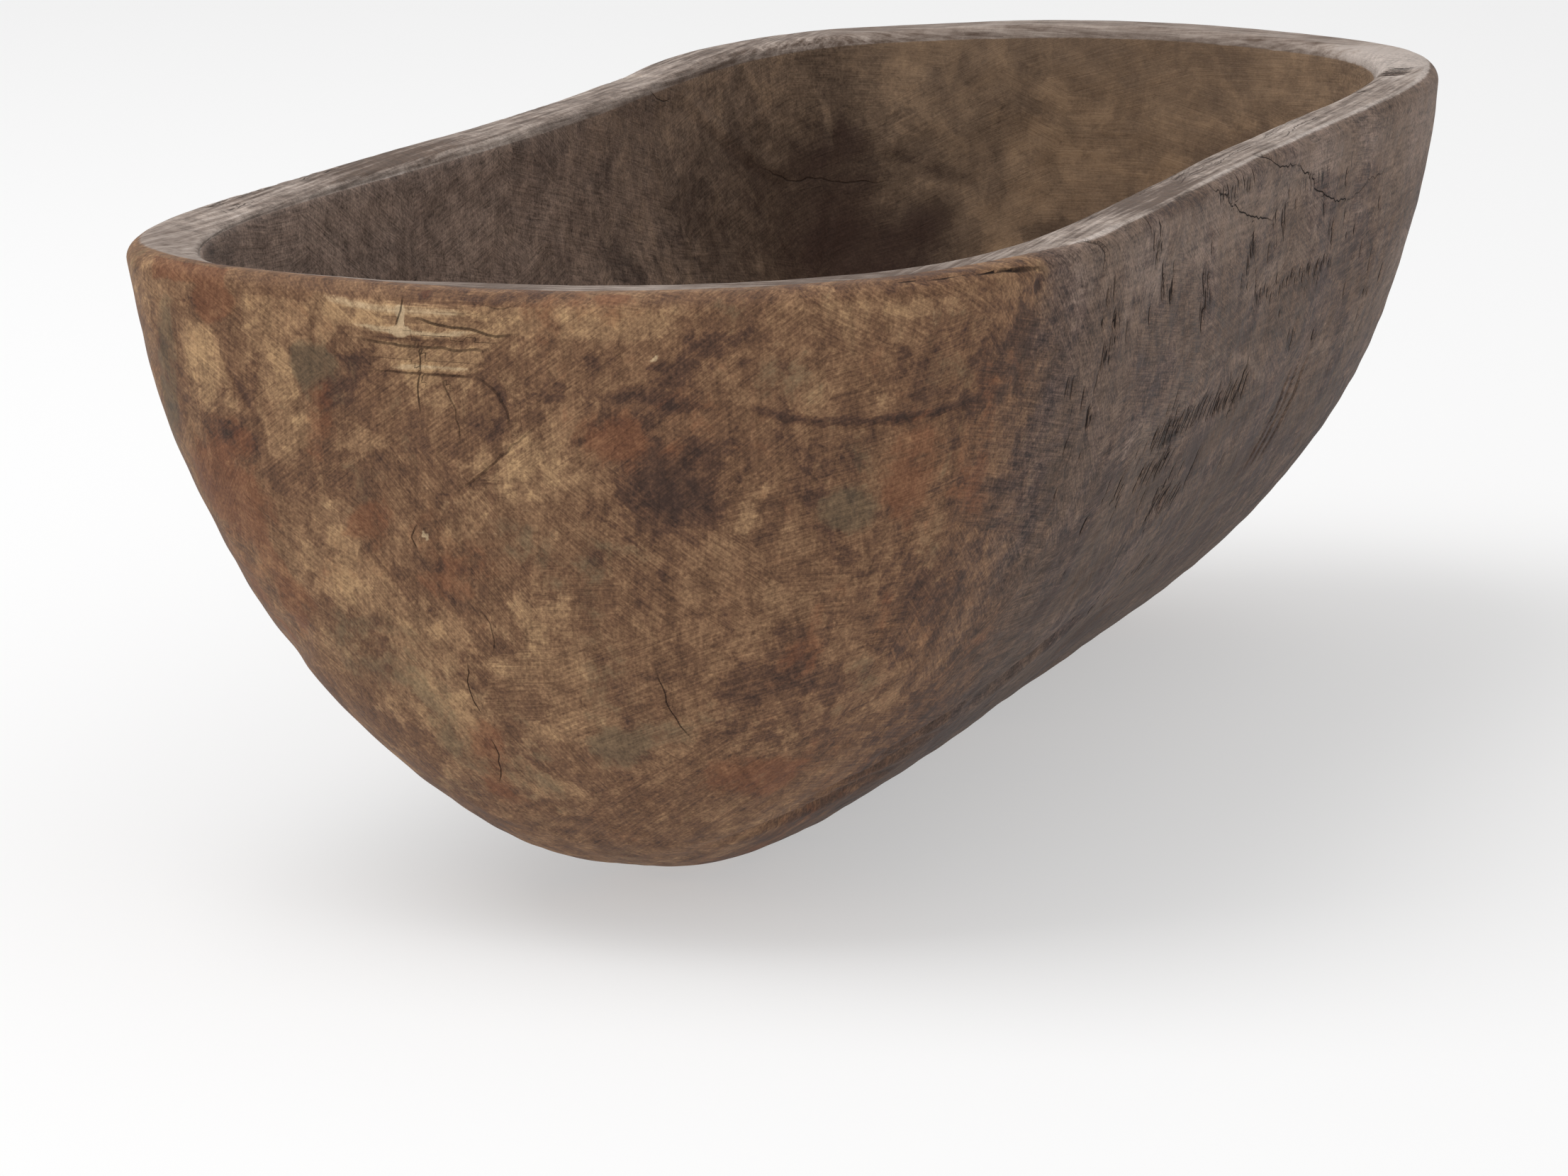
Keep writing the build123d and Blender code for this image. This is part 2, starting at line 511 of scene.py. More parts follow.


# ---- marks of this bowl, in mm on its faces

# Stains of the near end, with broad soft blots of painted light on its left and painted shade on its right:
# left, up, half width, half height, tilt, softness, amount
NEAR_END_STAINS_AND_SHADING = {
    "gold": [
        (70, 172, 12, 24, 14, 0.35, 0.9), (102, 178, 9, 20, 18, 0.35, 0.7), (86, 196, 14, 7, 0, 0.5, 0.6),
        (30, 199, 42, 5, 2, 0.5, 0.8), (-28, 200, 40, 7, 2, 0.5, 0.8), (-22, 184, 26, 13, 0, 0.5, 0.4),
        (40, 156, 22, 9, -12, 0.5, 0.6), (60, 143, 20, 10, 30, 0.5, 0.5), (56, 119, 17, 15, 0, 0.5, 1),
        (30, 108, 18, 9, 20, 0.5, 0.5), (-12, 112, 13, 9, 30, 0.5, 0.7), (26, 78, 18, 14, 30, 0.6, 0.9),
        (-2, 52, 20, 12, 0, 0.6, 0.5), (-80, 142, 13, 13, 0, 0.5, 0.6), (-74, 108, 18, 20, 20, 0.6, 0.35),
        (-50, 160, 10, 6, 0, 0.5, 0.4), (36, 98, 24, 15, 0, 0.8, 0.6), (10, 190, 34, 20, 0, 1, 0.35),
        # the first two blots of this line are broad painted light over the left of the end
        (90, 170, 40, 64, 15, 1, 0.4), (24, 78, 44, 44, 0, 1, 0.45), (122, 196, 8, 5, 0, 0.6, 0.4),
        (-35, 209, 6, 3, 0, 0.6, 0.5),
    ],
    "dark": [
        # the first blot of this line is broad painted shade over the right of the end
        (-105, 135, 45, 60, 0, 1, 0.35), (-84, 192, 44, 20, 0, 1, 0.15),
        (-50, 60, 30, 25, 0, 1, 0.15), (-28, 186, 40, 24, 0, 1, 0.6), (-47, 144, 28, 24, 0, 1, 0.45),
        (-82, 90, 34, 26, 0, 1, 0.75), (-128, 102, 26, 28, 0, 1, 1.3), (-136, 184, 26, 20, 0, 1, 0.5),
        (-136, 142, 20, 26, 0, 1, 0.35), (40, 181, 11, 10, 0, 0.5, 0.7), (-33, 190, 8, 7, 0, 0.5, 0.5),
        (-54, 152, 17, 17, 20, 0.7, 1.2), (93, 157, 12, 8, 0, 0.5, 0.7), (16, 118, 13, 12, 0, 0.6, 0.7),
        (3, 167, 7, 6, 0, 0.6, 0.7), (-46, 177, 14, 4, 0, 0.5, 0.6), (-101, 143, 10, 9, 0, 0.6, 0.6),
        (-112, 113, 13, 8, 0, 0.6, 0.3), (-75, 68, 22, 14, 20, 0.7, 0.2), (-20, 90, 16, 10, 0, 0.6, 0.4),
        (-66, 196, 12, 5, 0, 0.6, 0.6), (118, 175, 7, 28, 10, 0.6, 0.5),
    ],
    "red": [
        (-128, 102, 26, 28, 0, 1, 0.3), (-136, 184, 26, 20, 0, 1, 0.4),
        (-122, 150, 18, 24, 0, 0.9, 0.6), (-88, 52, 30, 18, 0, 0.9, 0.6), (93, 157, 12, 8, 0, 0.5, 0.3),
        (96, 199, 9, 7, 0, 0.6, 1), (100, 138, 20, 15, 25, 0.7, 1), (60, 165, 7, 20, 10, 0.6, 0.5),
        (45, 136, 11, 10, 0, 0.6, 0.7), (-37, 166, 12, 9, 0, 0.6, 0.6), (14, 60, 12, 18, 0, 0.7, 0.8),
        (-62, 52, 16, 12, 0, 0.7, 0.6), (-35, 209, 6, 3, 0, 0.6, 1),
    ],
    "green": [
        (-101, 143, 10, 9, 0, 0.6, 0.6), (38, 92, 34, 30, 0, 1, 0.25), (2, 48, 34, 18, 0, 1, 0.25),
        (118, 175, 7, 28, 10, 0.6, 0.8), (62, 184, 9, 9, 0, 0.6, 0.7), (-85, 184, 14, 10, 0, 0.7, 0.4),
        (-4, 132, 16, 9, 0, 0.6, 0.5), (-30, 66, 12, 8, 0, 0.6, 0.6),
    ],
}

# Straight-edged cuts: corners, softness of the edge, masks
NEAR_END_FACETS = [
    ([(85, 202), (75, 203), (66, 172), (83, 169)], 1, dict(gold=0.7)),
    ([(112, 194), (98, 191), (86, 168), (104, 167)], 1, dict(gold=0.6)),
    ([(96, 191), (90, 190), (82, 166), (87, 167)], 0.8, dict(dark=0.8)),
    ([(124, 214), (92, 211), (92, 205), (120, 204)], 1.5, dict(red=0.8, gold=0.3)),
    ([(75, 203), (52, 199), (54, 190), (72, 191)], 1.2, dict(gold=0.5)),
    ([(69, 188), (44, 186), (48, 170), (65, 170)], 1.2, dict(dark=0.6, green=0.4)),
    ([(44, 191), (3, 189), (1, 168), (25, 168), (40, 180)], 1, dict(gold=0.3)),
    ([(-2, 206), (-60, 207), (-54, 183), (-24, 180), (-4, 192)], 1.6, dict(gold=0.35)),
    ([(30, 146), (-6, 166), (-30, 160), (-26, 134), (20, 128)], 1.6, dict(gold=0.3, tone=0.6)),
    ([(110, 120), (92, 132), (66, 104), (84, 84)], 1.6, dict(gold=0.3, red=0.5)),
]

# Cracks: path, depth, wander, width
NEAR_END_CRACKS = [
    ([(8, 110), (5, 106), (4, 100), (5, 96)], 0.5, 0.3, 0.7),
    ([(14, 92), (15, 86), (14, 79), (12, 75)], 0.8, 0.3, 0.7),
    ([(11, 66), (10, 60), (11, 55), (13, 50)], 0.8, 0.3, 0.7),
    ([(-46, 93), (-47, 88), (-48, 80), (-50, 74), (-52, 70)], 0.7, 0.3, 0.7),
    ([(31, 205), (31, 201), (33, 196)], 0.7),
    ([(26, 192), (25, 184), (26, 178), (25, 170)], 0.7),
    ([(18, 182), (15, 174), (12, 161)], 0.5),
    ([(28, 135), (30, 131), (28, 127)], 0.7),
    ([(4, 204), (0, 203), (-5, 204)], 0.4),
]

# Ridges and grooves of torn grain, the grooves darkened with painted shade: path, width, height, softness,
# masks
TORN_GRAIN = [
    (
        [(64, 205), (48, 202), (38, 201), (30, 201), (20, 201), (2, 201)],
        2.6, 0.7, 0.9, dict(gold=1, pale=0.75),
    ),
    ([(52, 197), (40, 195), (20, 194), (2, 196)], 1.6, 0.5, 0.9, dict(gold=1, pale=1)),
    ([(50, 194.5), (40, 192.5), (20, 191.5), (2, 193.5)], 1.5, -0.7, 1, dict(dark=0.6)),
    ([(16, 200), (4, 198), (-2, 200)], 1.5, -0.6, 1, dict(dark=0.6)),
    ([(38, 183.5), (22, 184), (5, 184)], 1.4, 0.3, 0.9, dict(gold=1, pale=0.9)),
    ([(40, 181.5), (22, 182), (4, 182.5)], 1.1, -0.3, 0.9, dict(dark=0.7)),
    ([(3, 184), (-1, 176), (-2, 170), (2, 164)], 1.6, -0.3, 0.9, dict(dark=0.8)),
    ([(-6, 165), (3, 154), (14, 145), (28, 145)], 1, -0.35, 0.9, dict(dark=0.9)),
]
TORN_GRAIN_LINES = [
    ([(46, 191.5), (34, 190.5), (24, 190), (12, 189.5), (2, 191)], 0.6, 0.3, 1.6),
    ([(28, 198.5), (12, 196.5), (0, 194.5), (-6, 195.5)], 0.7, 0.3, 1.6),
    ([(41, 182.5), (24, 181.8), (7, 181.8)], 0.5, 0.3, 1.3),
    ([(7, 182), (0, 177), (-3, 172), (-4, 167)], 0.5, 0.3, 1.6),
    ([(-12, 168), (5, 153), (14, 146)], 0.45, 0.3, 1.3),
]

# Level pale fibres: left, up, length
PALE_FIBRES = [
    (29, 151, 8), (26, 147, 9), (16, 143, 16), (-9, 142, 6), (4, 138, 30), (20, 128, 14), (2, 134, 20),
]

# Soft grooves left by the adze, darkened inside with painted shade
ADZE_GROOVES = [
    (
        [(-70, 178), (-84, 173), (-95, 171), (-108, 170), (-124, 171), (-136, 175)],
        2.6, -0.8, 1, dict(dark=1.2),
    ),
    ([(-80, 181), (-104, 178), (-128, 180)], 6, 0, 1, dict(gold=0.5)),
    ([(-42, 178), (-57, 175), (-72, 177)], 2.4, -0.5, 1, dict(dark=0.5)),
    ([(122, 197), (110, 198), (99, 200)], 1.2, -0.5, 0.9, dict(dark=0.9)),
    ([(80, 158), (72, 147), (62, 136)], 0.8, 0.2, 0.9, dict(pale=0.4)),
    ([(98, 189), (90, 176), (83, 166), (76, 152)], 1, -0.4, 0.9, dict(dark=0.7)),
    ([(-24, 144), (-38, 138), (-48, 126), (-56, 112)], 1.6, -0.3, 0.9, dict(dark=0.5, red=0.3)),
]

# Chips, flecks and small scars: place, half size, tilt, softness, masks
CHIPS = [
    ((31.5, 194.5), (3.4, 1.8), 0, 0.5, dict(pale=2, lift=0.6)),
    ((31.5, 198), (1.4, 5), 0, 0.5, dict(pale=1.4)),
    ((25, 132), (1.7, 1.1), 40, 0.4, dict(pale=1.6, lift=0.4)),
    ((-49, 190), (2, 0.8), -40, 0.4, dict(pale=0.9)),
    ((-49, 187.6), (3.2, 0.7), -20, 0.4, dict(dark=0.8)),
    ((25, 108), (1.2, 1.2), 0, 0.4, dict(dark=1.6)),
    ((84, 89), (14, 9), -35, 0.5, dict(lift=-1.1)),
]


def near_end_stains_and_shading():
    """Golden, dark, red-brown and grey-green patches of the near end; broad soft ones also make its left
    lighter and its right darker, as painted light and shade.
    """
    for mask, stains in NEAR_END_STAINS_AND_SHADING.items():
        for left, up, width, height, tilt, blur, amount in stains:
            blot("near_end", (left, up), (width, height), tilt, blur, **{mask: amount})
    for corners, edge, masks in NEAR_END_FACETS:
        facet("near_end", corners, edge, **masks)


def near_end_marks():
    """Cracks, torn grain, grooves and chips of the near end; the grooves are darkened with painted shade."""
    cuts("near_end", NEAR_END_CRACKS)
    bands("near_end", TORN_GRAIN)
    cuts("near_end", TORN_GRAIN_LINES)
    for left, up, length in PALE_FIBRES:
        band("near_end", [(left + length / 2, up), (left - length / 2, up + 0.5)], 0.9, 0.1, 0.9, pale=0.45)
    bands("near_end", ADZE_GROOVES)
    for place, size, tilt, blur, masks in CHIPS:
        blot("near_end", place, size, tilt, blur, **masks)


# Dents along the lower right edge: along, up, half length, half height, lift
EDGE_DENTS = [
    (-218, 30, 34, 5.0, -3.2), (-206, 42, 32, 4.4, -3.2), (-190, 54, 32, 4.6, -3.4), (-130, 61, 46, 6, -3.6),
    (-40, 54, 30, 10, -1.6),
]


def corner_marks():
    """The rim's lip at the near right corner with the painted shadow line under it, a small dent beside it
    darkened with painted shade, and the dents below.
    """
    # a thin dark line under the rim's lip, painted as its shadow, on the end and round the corner
    cut("near_end", [(-108, 213), (-117, 212.5), (-131, 213), (-138, 212.5), (-145, 211)], 1.0, 0.2, 2.4)
    cut("right_side", [(-264, 212.5), (-254, 212), (-245, 211)], 0.7, 0.2, 2.0)
    blot("near_end", (-121, 204), (12, 3.5), 0, 0.6, gold=0.7)
    band("near_end", [(-124, 206), (-124.5, 197)], 0.9, 0.1, 0.9, pale=0.6)
    # a small dent where the lip's shadow line ends, darkened with painted shade
    blot("right_side", (-248, 206), (2.4, 3), 0, 0.8, dark=2.5, lift=-0.5)
    blot("right_side", (-252, 190), (8, 22), 10, 0.9, dark=0.7)
    cut("right_side", [(-213, 215), (-206, 213), (-203, 209), (-205, 203)], 0.7)
    cut("right_side", [(-209, 215), (-202, 212), (-199, 207)], 0.5)
    blots("right_side", EDGE_DENTS, 0.8, "lift", 10)
    blot("right_side", (23, 25), (26, 9), 10, 0.7, lift=-1.5)


# Cracks that run down from the right rim: path, depth, wander
RIGHT_SIDE_CRACKS = [
    ([(-80, 217), (-77, 213), (-67, 210), (-58, 206), (-44, 201), (-26, 197), (3, 191)], 1.0, 0.6),
    ([(-12, 217), (-7, 215), (0, 213), (9, 209), (31, 207)], 0.9, 0.5),
    ([(31, 207), (48, 202), (61, 194), (71, 191), (84, 187), (93, 187), (108, 185)], 1.2, 0.6),
    ([(108, 185), (126, 188), (150, 190)], 0.5, 0.6),
]

# Areas of fine nicks on the long sides: along, up, half length, half height, tilt
NICKED = [
    (-115, 134, 22, 12, 20), (-75, 137, 26, 11, 10), (-30, 141, 26, 9, 5), (-105, 118, 22, 9, 30),
    (-190, 178, 14, 16, 0), (-139, 186, 12, 10, 0), (-90, 180, 12, 9, 0), (20, 184, 34, 9, 0),
    (40, 165, 44, 7, -8), (-75, 106, 30, 8, 30), (-110, 88, 34, 8, 35), (-215, 150, 12, 20, 0),
    (-205, 112, 16, 12, 20), (60, 200, 60, 6, 0), (-190, 204, 20, 5, 0), (100, 178, 30, 12, 0),
    (150, 130, 40, 14, 0), (-30, 66, 50, 10, 10),
]

# Clusters of larger nicks: along, up, spread along, spread up, how many
NICK_CLUSTERS = [
    (-193, 186, 9, 10, 7), (-190, 170, 8, 9, 6), (-137, 187, 10, 8, 9), (-87, 179, 12, 9, 9),
    (-150, 205, 14, 5, 8), (-30, 176, 26, 12, 12), (20, 190, 24, 10, 8), (90, 175, 26, 12, 10),
    (-115, 133, 24, 16, 16), (-30, 134, 28, 12, 12), (-70, 104, 34, 14, 14), (-150, 116, 22, 14, 10),
    (60, 150, 30, 16, 8), (-210, 150, 12, 18, 8), (150, 150, 30, 20, 8), (-40, 70, 50, 14, 10),
]

# Rows of chisel ticks: first and last along, up, lean, length
TICK_ROWS = [
    (-122, -4, 132, 3.5, 9), (-124, -84, 119, 3.5, 8), (-88, -48, 103, 3.5, 8), (-12, 84, 165, 0.3, 4),
    (-70, -20, 207, 0.3, 5),
]
TICK_GAP = 5

# Darker belts and lighter scraped areas: along, up, half length, half height, amount
DARK_BELTS = [
    (40, 158, 120, 7, 0.9), (-90, 160, 70, 8, 0.7), (-60, 118, 110, 9, 0.7), (90, 186, 60, 6, 0.5),
    (-150, 90, 70, 10, 0.6), (60, 100, 90, 9, 0.6), (-185, 126, 55, 36, 0.5), (-20, 50, 130, 8, 0.7),
]
SCRAPED = [
    (-150, 192, 50, 10, 0.7), (20, 199, 90, 6, 0.7), (160, 180, 70, 12, 0.7), (10, 174, 70, 7, 0.7),
    (-150, 140, 40, 8, 0.7), (100, 130, 60, 8, 0.7), (195, 197, 70, 14, 0.7),
]


def flank_height_tones(face):
    """A long side is lighter near the rim and darker low down, away from the near end."""
    members, places = flat_places(face)
    away = smoothstep(-242, -212, places[:, 0])
    paint["gold"][members] += 1.2 * smoothstep(184, 206, places[:, 1]) * away
    paint["dark"][members] += 0.9 * smoothstep(165, 70, places[:, 1]) * away


def flank_nicks(face, sway):
    """Scattered nicks and rows of chisel ticks."""
    for along, up, length, height, tilt in NICKED:
        blot(face, (sway * along, up), (length, height), tilt * sway, 0.9, nick=1.0)
    for along, up, spread, rise, count in NICK_CLUSTERS:
        for _ in range(count):
            start = np.array([sway * along + rng.normal(0, spread * 0.6), up + rng.normal(0, rise * 0.5)])
            length = rng.uniform(2, 9)
            lean = rng.normal(0.0, 0.05) * length
            cut(face, [start, start + (lean, length)], rng.uniform(0.5, 1.2), 0.3, rng.uniform(1.6, 3.0))
    for first, last, up, lean, length in TICK_ROWS:
        for along in np.arange(first, last, TICK_GAP):
            start = np.array([sway * along + rng.normal(0, 0.8), up + rng.normal(0, 1.2)])
            cut(face, [start, start + (sway * lean, length)], rng.uniform(0.8, 1.3), 0.2, 2.5)


def flank_marks(face, sway):
    """Nicks, grooves darkened with painted shade, and stains of a long side, the other way round where sway
    is -1.
    """
    flank_height_tones(face)
    flank_nicks(face, sway)
    # long slanting grooves darkened with painted shade, a lighter ridge beside each, and a pale scraped arc
    for shift in (0, 9, 20):
        band(face, [(66 + shift, 134), (61 + shift, 113), (56 + shift, 92)], 1.5, -0.7, 0.9, dark=0.9)
        band(face, [(69 + shift, 134), (64 + shift, 113), (59 + shift, 92)], 1.2, 0.2, 0.9, gold=0.5)
    band(face, [(-95, 155), (-62, 156), (-34, 151), (0, 142), (30, 128)], 2.6, 0.3, 0.9, gold=1.2)
    for mask, stains in (("dark", DARK_BELTS), ("gold", SCRAPED)):
        blots(face, [(sway * along, *rest) for along, *rest in stains], 0.8, mask, 4 * sway)


# Clusters of short checks on the rim: along, out, spread, how many
RIM_CHECKS = [(-210, 147, 12, 9), (-182, 147, 16, 11), (-152, 147, 20, 8), (-205, 140, 10, 3)]

# Lighter and darker stretches of the rim: along, out, half length, half width, amount
LIGHT_RIM = [(258, -122, 55, 40, 2.2), (55, -137, 40, 40, 0.6), (-235, 120, 45, 40, 0.5)]
DARK_RIM = [
    (-85, 137, 60, 40, 1.0), (-290, -95, 40, 40, 0.9), (-120, -137, 55, 40, 0.9), (-310, 0, 90, 40, 0.5),
]


def rim_marks():
    """Nicks, a pin knot and long checks on top of the rim."""
    face = "rim_top"
    blot("near_end", (24, 206.5), (2.2, 2.2), 0, 0.5, dark=1.3, red=0.6)
    for along in np.arange(240, 216, -4.5):
        start = -127 - rng.uniform(0, 3)
        cut(face, [(along, start), (along + 4, start - rng.uniform(7, 11))], 1.1, 0.3, 2.2)
    cut(face, [(166, -135), (174, -137)], 1.0, 0.3, 2.0)
    for along, out, spread, count in RIM_CHECKS:
        for _ in range(count):
            place = np.array([along + rng.normal(0, spread * 0.5), out + rng.normal(0, 1.6)])
            length = rng.uniform(4, 16)
            path = [place, place + (length, length * 0.03)]
            cut(face, path, rng.uniform(0.4, 0.8), 0.4, rng.uniform(0.8, 1.5))
    blot(face, (-180, 147), (45, 4), 0, 0.8, dark=0.3)
    for _ in range(12):
        start = rng.uniform(-190, 60)
        off = rng.uniform(-7, 7)
        length = rng.uniform(50, 130)
        path = [(start, -137 + off), (start + length / 2, -133 + off), (start + length, -133 + off)]
        cut(face, path, rng.uniform(0.25, 0.6), 0.3, 0.9)
    blot(face, (228, -134), (15, 7.5), -20, 0.7, dark=1.7, lift=-0.5)
    blots(face, LIGHT_RIM, 0.9, "gold")
    blots(face, DARK_RIM, 0.9, "dark")
    # a wedge-shaped flat and the low bump behind it on the left rim
    blot(face, (150, 140), (22, 9), 12, 0.9, pale=0.4, lift=-0.4)
    blot(face, (198, 139), (44, 16), 0, 1.0, lift=1.1)


def scattered(face, count, place_box, sizes, squash, tilts, blur, choices, amount):
    """Stains of random kinds at random places in a box (left, right, low, high)."""
    for _ in range(count):
        place = (rng.uniform(*place_box[:2]), rng.uniform(*place_box[2:]))
        size = rng.uniform(*sizes)
        mask = rng.choice(choices)
        blot(face, place, (size, size * rng.uniform(*squash)), rng.uniform(*tilts), blur, **{mask: amount})


HOLLOW_KINDS = ["gold", "dark", "dark", "red"]
END_KINDS = ["gold", "gold", "gold", "dark", "dark", "red", "green"]


def hollow_marks():
    """Fissures, ridges, a groove darkened with painted shade, and stains inside."""
    face = "left_hollow"
    band(face, [(160, 207), (172, 204), (200, 190), (230, 173), (253, 162)], 2.2, 0.5, 0.9, gold=0.4)
    # a groove beside the ridge, darkened with painted shade
    band(face, [(166, 200), (195, 186), (226, 168), (250, 156)], 2.6, -0.5, 1.0, dark=0.3)
    cut(face, [(232, 168), (246, 162), (260, 161), (272, 158), (284, 158)], 0.45, 0.5, 1.4)
    cut(face, [(136, 209), (143, 205), (152, 203), (158, 203)], 0.6, 0.3)
    blot(face, (214, 180), (14, 8), -30, 0.6, dark=0.2)
    blot(face, (216, 150), (74, 66), 0, 1.0, dark=1.4)
    blot(face, (-80, 200), (120, 50), 0, 1.0, gold=0.8)
    blot("far_hollow", (84, 118), (50, 62), 0, 1.0, dark=1.4)
    blot("far_hollow", (0, 185), (60, 32), 0, 1.0, gold=0.3)
    blot("far_hollow", (-80, 205), (40, 36), 0, 1.0, gold=0.1)
    band("far_hollow", [(98, 152), (96, 140), (95, 122)], 1.2, 0.3, 0.9, gold=0.6)
    band("far_hollow", [(106, 194), (103, 180), (100, 165)], 2.0, 0.6, 0.9, gold=0.8)
    for name, reach in (("left_hollow", 250), ("right_hollow", 250), ("far_hollow", 100)):
        scattered(name, 26, (-reach, reach, 40, 200), (8, 30), (0.3, 0.7), (-40, 40), 0.8, HOLLOW_KINDS, 0.7)


def unseen_end_stains():
    """The far end has the same kind of patches as the near end."""
    scattered("far_end", 60, (-125, 125, 20, 205), (8, 20), (0.5, 0.9), (0, 90), 0.6, END_KINDS, 0.5)
    cut("far_end", [(20, 198), (22, 182), (19, 165), (21, 150)])
    cut("far_end", [(-34, 120), (-32, 104), (-35, 88)])


near_end_stains_and_shading()
near_end_marks()
corner_marks()
cuts("right_side", RIGHT_SIDE_CRACKS)
flank_marks("right_side", 1)
flank_marks("left_side", -1)
rim_marks()
hollow_marks()
unseen_end_stains()


# ---- where the wood is warm, weathered or dark

# The edge of the warm wood, in mm: height, along, half width
WARM_EDGE = [
    (0, -170, 60), (66, -208, 58), (119, -240, 58), (153, -248, 50), (185, -254, 36), (212, -243, 22),
    (230, -240, 14),
]


def warmth():
    """1 on the warm brown ends, 0 on the weathered grey sides, changing sharply only near the rim."""
    x, y, z = points.T
    heights, edges, spreads = np.array(WARM_EDGE).T * MM
    corner = np.interp(z, heights, edges)
    spread = np.interp(z, heights, spreads)
    corner = np.where(y < 0, corner, corner - 8 * MM)
    near_warm = smoothstep(corner + spread, corner - spread, x)
    far_warm = smoothstep(-corner - spread, -corner + spread, x - 35 * MM)
    return np.maximum(near_warm, far_warm)


def rim_share():
    """1 on the top of the rim, worn and painted paler for its sheen, whose outer edge is further in at the
    near right.
    """
    near_right = smoothstep(-0.20, -0.27, points[:, 0]) * smoothstep(0.15, 0.10, points[:, 1])
    outer_edge = 0.20 + 0.26 * near_right
    return np.where(kind == RIM, smoothstep(outer_edge - 0.05, outer_edge + 0.05, across_rim), 0.0)


def endwise():
    """1 in the columns that face along the bowl, 0 in the ones that face across it."""
    wall_row = np.flatnonzero(row_kinds == OUTSIDE)[-20]
    wall = np.abs(normals.reshape(ROWS, COLUMNS, 3)[wall_row])
    return np.tile(smoothstep(-0.15, 0.15, wall[:, 0] - wall[:, 1]), ROWS)


def hollow_share():
    """1 inside, fading out over the rim's inner edge."""
    share = np.where(kind >= HOLLOW, 1.0, 0.0)
    inner_edge = (kind == RIM) & (normals[:, 2] < 0.75) & (row_of > rim_span.mean())
    share[inner_edge] = smoothstep(0.75, 0.2, normals[inner_edge, 2])
    return share


paint["warm"] = warmth()
paint["rim"] = rim_share()
paint["endwise"] = endwise()
paint["hollow"] = hollow_share()
paint["hollow_warm"] = smoothstep(-0.25, 0.28, points[:, 0] * 0.9 - points[:, 1] * 1.1)


# ---- the piece


def bowl_mesh():
    """The grid, moved by its marks and kept inside the CAD box, as one closed mesh."""
    places = points + normals * lift[:, None]
    places = np.clip(places, *map(np.array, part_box("carved_bowl")))
    poles = [places[:COLUMNS].mean(axis=0), places[-COLUMNS:].mean(axis=0)]
    number = np.arange(len(places)).reshape(ROWS, COLUMNS)
    after = np.roll(number, -1, axis=1)
    quads = np.stack([number[:-1], after[:-1], after[1:], number[1:]], axis=-1).reshape(-1, 4)
    bottom = np.stack([np.full(COLUMNS, len(places)), after[0], number[0]], axis=-1)
    top = np.stack([np.full(COLUMNS, len(places) + 1), number[-1], after[-1]], axis=-1)
    mesh = bpy.data.meshes.new("carved_bowl_wood")
    faces = quads.tolist() + bottom.tolist() + top.tolist()
    mesh.from_pydata(np.vstack([places, poles]), [], faces, shade_flat=False)
    for name, values in paint.items():
        layer = mesh.attributes.new(name, "FLOAT", "POINT")
        layer.data.foreach_set("value", np.append(values, values[[0, -1]]).astype(np.float32))
    return mesh


def add_object(name, data):
    """An object in the scene, made of a mesh, a light or a camera."""
    made = bpy.data.objects.new(name, data)
    bpy.context.scene.collection.objects.link(made)
    return made


bowl = add_object("bowl_wood", bowl_mesh())

# ---- wood material


